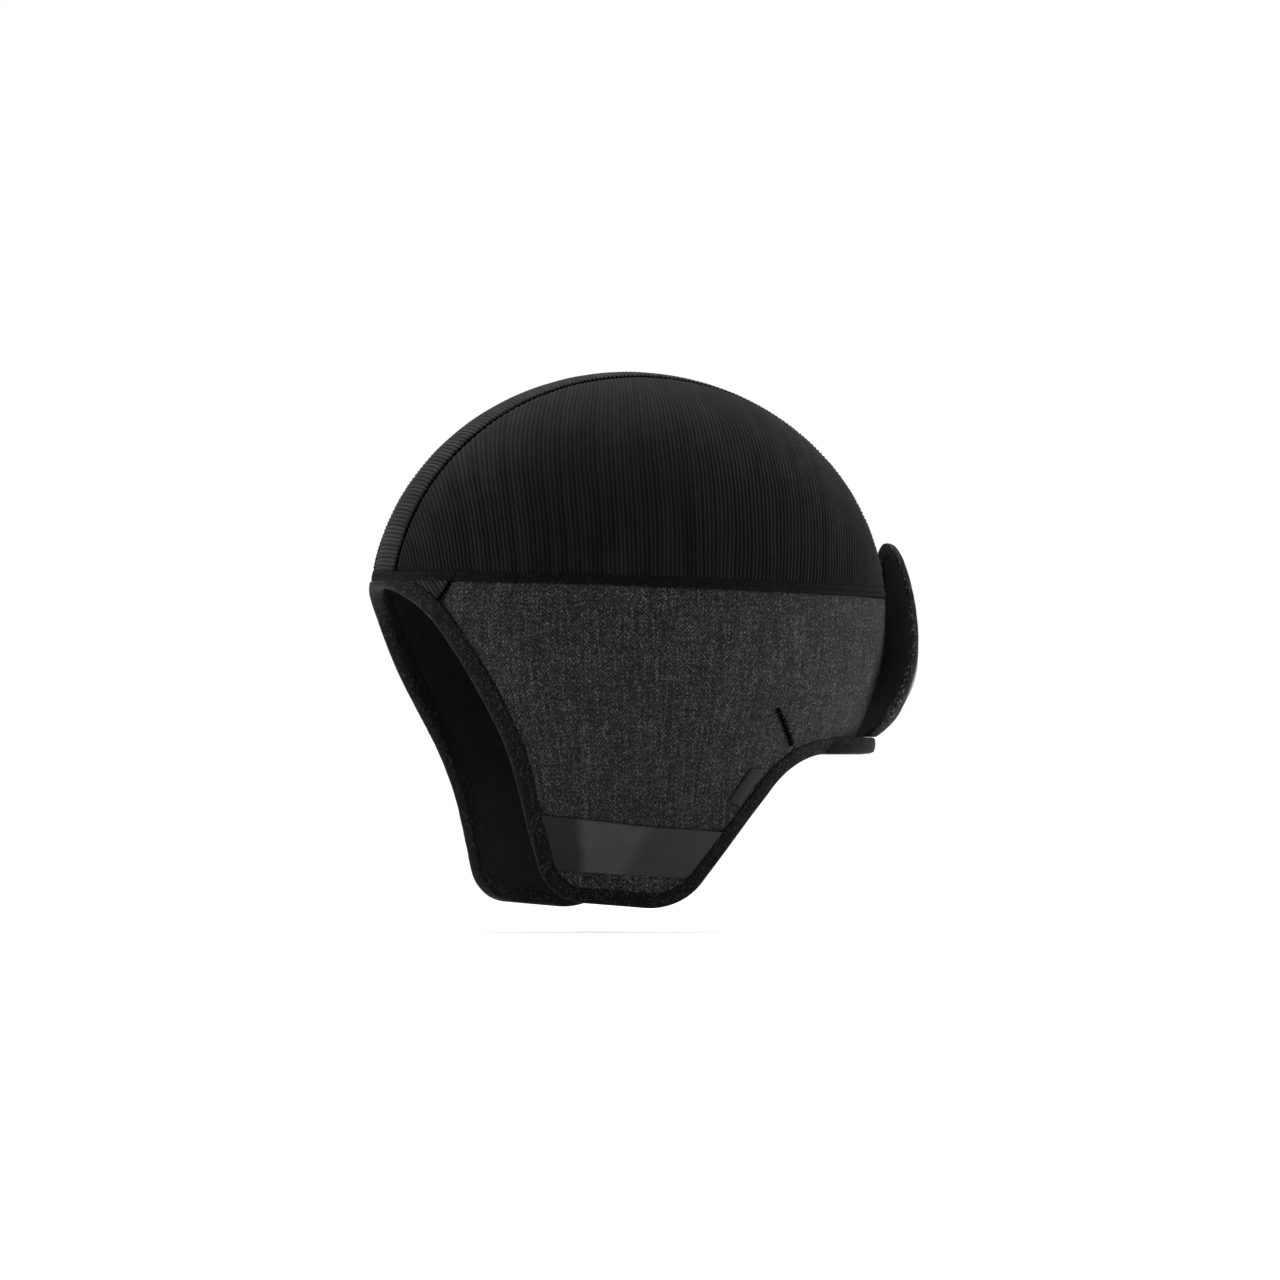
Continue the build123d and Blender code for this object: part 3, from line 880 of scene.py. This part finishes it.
def base_crescent():
    """The thick stretch of binding on the nape that carries the pocket flap."""
    half, end_y, reach, low, high = 46.0, 70.0, 101.4, -56.9, -50.2
    sag = reach - end_y
    radius = (half**2 + sag**2) / (2 * sag)
    span = math.asin(half / radius)
    t = np.linspace(-span, span, 220)
    ox, oy = radius * np.sin(t), reach - radius + radius * np.cos(t)
    phi = np.arctan2(oy / HALF_LENGTH, ox / HALF_WIDTH)
    profile = [
        (0.0, high), (0.45, high + 0.15), (0.78, high + 0.1), (0.93, high - 0.2), (0.985, high - 0.9), (1.0, high - 2.4),
        (0.99, high - 4.2), (0.93, high - 5.7), (0.78, high - 6.4), (0.45, low), (0.0, low + 0.1),
    ]
    rows, uv, width, last = [], [], 0.0, None
    for k, zz in profile:
        a = HALF_LENGTH * tuck(np.array(zz)) + 0.6
        near = np.stack([a * HALF_WIDTH / HALF_LENGTH * np.cos(phi), a * np.sin(phi)], 1)
        far = np.stack([ox, oy], 1)
        shrink = np.clip(np.linalg.norm(far - near, axis=1) / 1.2, 0, 1)[:, None]
        p = near + (far - near) * k * shrink
        p *= 1 + 0.0012 * soft_noise(t * radius, np.full(len(t), zz), 8.0, 71)[:, None]
        if last is not None:
            width += math.hypot((k - last[0]) * 8, zz - last[1])
        last = (k, zz)
        rows.append(np.column_stack([p, np.full(len(t), zz)]))
        uv.append(np.stack([t * radius, np.full(len(t), width)], 1))
    return np.array(rows), np.array(uv)


# ---------------------------------------------------------------- nape pocket flap
def cup(x, z, inset):
    deep = np.where(z > CUP_Z, CUP_UP, CUP_DOWN) - inset
    inside = 1 - (x / (CUP_WIDE - inset)) ** 2 - ((z - CUP_Z) / deep) ** 2
    return np.stack([x, CUP_Y + (CUP_DEEP - inset) * np.sqrt(np.clip(inside, 0.0, 1)), z], -1)


def petal(inset, count=None, step=0.5):
    line = rounded(CUP_OUTLINE, CUP_RADII, 0.3)
    line = line + inward(line, -1) * inset
    keep = line[:, 1] > CUP_FOOT
    line = line[keep]
    return even(line, step=step, count=count)


def cup_sheet(inset, edge, bulge, seed):
    """The shell or the lining as rings from the middle out to the petal's edge."""
    ring = petal(edge, count=360)
    closing = np.linspace(ring[-1], ring[0], 41)[1:-1]
    ring = np.vstack([ring, closing])
    centre = np.array([0.0, -14.0])
    s = np.linspace(0.0, 1, 46)[:, None, None] ** 0.8
    p = centre + (ring[None] - centre) * s
    x, z = p[..., 0], p[..., 1]
    offset = inset - bulge * soft_noise(x, z, 34.0, seed)
    return cup(x, z, offset), np.stack([x, z], -1)


# The rim tape's section: how far in from the petal's edge, and how far inside the shell's outer face.
CUP_PROFILE = [
    (4.7, 0.2), (4.5, -0.35), (4.1, -0.55), (3.2, -0.6), (2.0, -0.6), (1.1, -0.52), (0.45, -0.2), (0.08, 0.45), (0.0, 1.2),
    (0.08, 1.9), (0.45, 2.4), (1.1, 2.6), (2.2, 2.62), (3.4, 2.6), (4.1, 2.5), (4.5, 2.3), (4.7, 1.8),
]


def cup_rim():
    count, rows, uv, width, last = 420, [], [], 0.0, None
    for d, inset in CUP_PROFILE:
        line = petal(d, count=count)
        run = lengths(line)
        wob = 0.08 * soft_noise(run, np.full(count, d * 2.0), 7.0, 81)
        rows.append(cup(line[:, 0], line[:, 1], inset + wob))
        if last is not None:
            width += math.hypot(d - last[0], inset - last[1])
        last = (d, inset)
        uv.append(np.stack([run, np.full(count, width)], 1))
    return np.array(rows), np.array(uv)


# ---------------------------------------------------------------- make the pieces
def both(name, p, uv, material, flip=False):
    """A left piece and its mirror image."""
    out = []
    for tag, points in (("left", p), ("right", mirrored(p))):
        out.append(sheet_piece(name.format(tag), points, uv, material, flip=flip != (tag == "right")))
    return out


def bends(obj):
    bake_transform(obj)


# Crown
p, uv = crown_side()
for o, tag in zip(both("crown_{}_rib_panel", p, uv, KNIT, flip=True), ("left", "right")):
    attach(o, "cap")
    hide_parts(f"crown_{tag}_panel")
p, uv = crown_strip()
strip = sheet_piece("crown_centre_rib_strip", p, uv, KNIT_LIT_COPY)
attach(strip, "cap")
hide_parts("crown_centre_panel")
for sign, tag in ((1, "left"), (-1, "right")):
    centre, normal = crown_seam_line(sign)
    under = ribbon(centre, normal, 1.9, -0.12)
    stitches = ladder(centre, normal, 3.1, 1.7, 0.40, slant=0.25)
    o = tubes(f"crown_seam_{tag}_thread", stitches, 0.25, STITCH, under)
    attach(o, "cap")
    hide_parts(f"crown_seam_{tag}")
    p, uv = base_band(sign)
    o = sheet_piece(f"crown_base_band_{tag}", p, uv, ELASTIC, flip=sign < 0)
    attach(o, "cap")
    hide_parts("crown_base_seam")

# Skirt with the ear flap's panel in one piece
p, uv = skirt_panel()
for o, tag in zip(both("skirt_{}_heather_panel", p, uv, HEATHER, flip=True), ("left", "right")):
    bends(o)
    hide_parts(f"skirt_{tag}_panel", f"ear_flap_{tag}_panel")
p, uv = forehead_panel()
for o, tag in zip(both("forehead_{}_rib_panel", p, uv, KNIT_LIT_COPY, flip=True), ("left", "right")):
    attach(o, "cap")
    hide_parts("forehead_panel")


def seam_line(points, g):
    line = even(np.array(points, float), step=0.4)
    p = side(line[:, 0], line[:, 1], g)
    return p, normals_on(p)


for tag in ("left", "right"):
    for node, points in (
        (f"forehead_seam_{tag}", [(-85.3, 15.0), (-91.4, 3.6)]),
        (f"dart_seam_{tag}", DART[:2] + [(50.6, -53.4)]),
    ):
        centre, normal = seam_line(points, -0.45)
        if tag == "right":
            centre, normal = mirrored(centre), mirrored(normal)
        under = ribbon(centre, normal, 0.9, 0.2)
        stitches = ladder(centre, normal, 3.3, 1.35, 0.60, slant=0.15)
        o = tubes(f"{node}_thread", stitches, 0.24, STITCH, under)
        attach(o, "cap")
        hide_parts(node)
back_z = np.linspace(4.0, -50.0, 200)
back = shell(np.full(200, math.pi / 2), back_z, np.full(200, -0.45))
under = ribbon(back, normals_on(back), 1.8, 0.02)
stitches = ladder(back, normals_on(back), 2.3, 1.7, 0.45, slant=0.2)
o = tubes("centre_back_seam_thread", stitches, 0.26, STITCH, under)
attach(o, "cap")
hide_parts("centre_back_seam")

# Ear flap details
p, uv = patch_surface()
for o, tag in zip(both("ear_flap_{}_satin_patch", p, uv, PATCH), ("left", "right")):
    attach(o, f"ear_flap_{tag}")
    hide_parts(f"ear_flap_{tag}_patch")
p, uv = tip_surface()
for o, tag in zip(both("ear_flap_{}_tip_strip", p, uv, HEATHER_TIP), ("left", "right")):
    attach(o, f"ear_flap_{tag}")
    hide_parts(f"ear_flap_{tag}_tip")
p, uv = keeper()
for o, tag in zip(both("ear_flap_{}_keeper_tab", p, uv, KEEP), ("left", "right")):
    bends(o)
    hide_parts(f"ear_flap_{tag}_strap_keeper")

# Foam core and lining
phi, z = skirt_grid(150, 60, 1.4, patch=False, rise=0.0, front=False)
uv = np.stack([around(phi), z], -1)
core = [shell(phi, z, g) for g in (-1.25, -3.3)]
for tag, (outer, inner) in (("left", core), ("right", [mirrored(k)[:, ::-1] for k in core])):
    o = solid_piece(f"skirt_{tag}_foam_core", inner, outer, uv, FOAM)
    bends(o)
    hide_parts(f"skirt_{tag}_foam", f"ear_flap_{tag}_foam")
phi, z = skirt_grid(220, 90, 2.6, patch=False, rise=0.4, front=False)
a = around(phi)
g = -4.35 + 0.22 * soft_noise(a, z, 30.0, 91)
uv = np.stack([a, z], -1)
for o, tag in zip(both("skirt_{}_fleece_lining", shell(phi, z, g), uv, FLEECE), ("left", "right")):
    bends(o)
    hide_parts(f"skirt_{tag}_lining", f"ear_flap_{tag}_lining")

# Hem binding
p, uv = hem_binding()
for tag, points, flip in (("left", p, False), ("right", mirrored(p), True)):
    o = sheet_piece(f"hem_binding_{tag}", points, uv, TAPE, flip=not flip)
    bends(o)
    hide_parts("brow_binding", "nape_binding", f"ear_flap_{tag}_binding")
p, uv = base_crescent()
o = sheet_piece("pocket_base_rolled_binding", p, uv, BASE_TAPE_SHADED)
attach(o, "cap")
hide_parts("pocket_base_binding")

# Crown lining, with a ridge down the middle
for tag, sign in (("left", 1), ("right", -1)):
    phi_g = np.linspace(-math.pi / 2, math.pi / 2, 200)
    low = seam_height(phi_g, 0.0)
    h = low[None] + (CROWN * 0.9995 - low)[None] * np.sin(np.linspace(0, math.pi / 2, 70))[:, None]
    g = -4.35 + 0.2 * soft_noise(around(phi_g)[None], h, 30.0, 95)
    p = shell(phi_g[None], h, g)
    dip = np.exp(-((p[..., 0] / 1.4) ** 2))
    p = shell(phi_g[None], h, g - 0.5 * dip)
    uv = np.stack([np.broadcast_to(around(phi_g)[None], h.shape), h], -1)
    if sign < 0:
        p = mirrored(p)
    o = sheet_piece(f"crown_{tag}_fleece_lining", p, uv, FLEECE, flip=sign < 0)
    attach(o, "cap")
    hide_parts(f"crown_lining_{tag}")

# Nape pocket flap
p, uv = cup_sheet(0.0, 0.9, 0.25, 83)
o = sheet_piece("rear_flap_outer_shell", p, uv, COATED, closed=True, flip=True)
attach(o, "rear_flap")
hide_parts("rear_flap_shell")
p, uv = cup_sheet(2.0, 0.9, 0.2, 84)
o = sheet_piece("rear_flap_inner_lining", p, uv, POCKET_LINING, closed=True)
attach(o, "rear_flap")
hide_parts("rear_flap_lining")
p, uv = cup_rim()
o = sheet_piece("rear_flap_rim_binding", p, uv, RIM_TAPE_LIT)
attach(o, "rear_flap")
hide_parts("rear_flap_binding")

# The CAD's crown foam stays, between the panels and the lining
for part in ("left", "centre", "right"):
    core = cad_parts[f"crown_{part}_foam"]
    core.data.materials.clear()
    core.data.materials.append(FOAM)

# ---------------------------------------------------------------- stage, light and camera
scene = bpy.context.scene
scene.view_settings.view_transform = "Standard"
world = bpy.data.worlds.new("studio")
scene.world = world
world.use_nodes = True
world.node_tree.nodes["Background"].inputs[0].default_value = (1, 1, 1, 1)
world.node_tree.nodes["Background"].inputs[1].default_value = 1.0

floor_mesh = bpy.data.meshes.new("floor")
FLOOR_RADIUS, FLOOR_LEVEL = 8, -0.128
angles = [2 * math.pi * i / 96 for i in range(96)]
ring = [(FLOOR_RADIUS * math.cos(a), FLOOR_RADIUS * math.sin(a), FLOOR_LEVEL) for a in angles]
floor_mesh.from_pydata(ring, [], [list(range(96))])
floor = bpy.data.objects.new("floor", floor_mesh)
scene.collection.objects.link(floor)
paint = Nodes("floor_paint", (0.93, 0.93, 0.93), 0.9, specular=0.1)
paint.colour(paint.ramp(paint.noise(paint.place, 3.0), [(0.3, (0.95, 0.95, 0.95)), (0.7, (0.97, 0.97, 0.97))]))
paint.shader.inputs["Emission Color"].default_value = (1, 1, 1, 1)
paint.shader.inputs["Emission Strength"].default_value = 0.06
floor_mesh.materials.append(paint.material)
floor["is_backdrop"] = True


def outward(azimuth, elevation):
    """The direction from the object, in degrees. Azimuth 0 is in front of the face and 90 at its left."""
    a, e = math.radians(azimuth), math.radians(elevation)
    return np.array([math.sin(a) * math.cos(e), -math.cos(a) * math.cos(e), math.sin(e)])


def area_light(name, azimuth, elevation, distance, size, power):
    """A soft box that faces the object."""
    back = outward(azimuth, elevation)
    lamp = bpy.data.lights.new(name, "AREA")
    lamp.shape, lamp.size, lamp.size_y, lamp.energy = "RECTANGLE", size[0], size[1], power
    obj = bpy.data.objects.new(name, lamp)
    scene.collection.objects.link(obj)
    obj.location = back * distance
    obj.rotation_euler = (-Vector(back)).to_track_quat("-Z", "Y").to_euler()
    obj.visible_camera = False


area_light("top_box", 250, 62, 1.3, (0.9, 0.9), 32)
area_light("front_box", -28, 14, 1.2, (0.5, 0.9), 13)
area_light("rear_box", 178, 16, 1.2, (0.5, 0.9), 12)

camera_data = bpy.data.cameras.new("camera")
camera = bpy.data.objects.new("camera", camera_data)
scene.collection.objects.link(camera)
scene.camera = camera
camera_data.sensor_width, camera_data.lens = 36.0, 500.0
camera_data.clip_end = 50
AZIMUTH, ELEVATION, FRAME_WIDTH = 73, -0.5, 0.512
back = outward(AZIMUTH, ELEVATION)
right = np.array([math.cos(math.radians(AZIMUTH)), math.sin(math.radians(AZIMUTH)), 0])
target = right * 0.0048 + np.array([0, 0, -0.0112])
camera.location = Vector(target + back * FRAME_WIDTH * camera_data.lens / camera_data.sensor_width)
camera.rotation_mode = "QUATERNION"
camera.rotation_quaternion = (-Vector(back)).to_track_quat("-Z", "Y")

low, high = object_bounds()
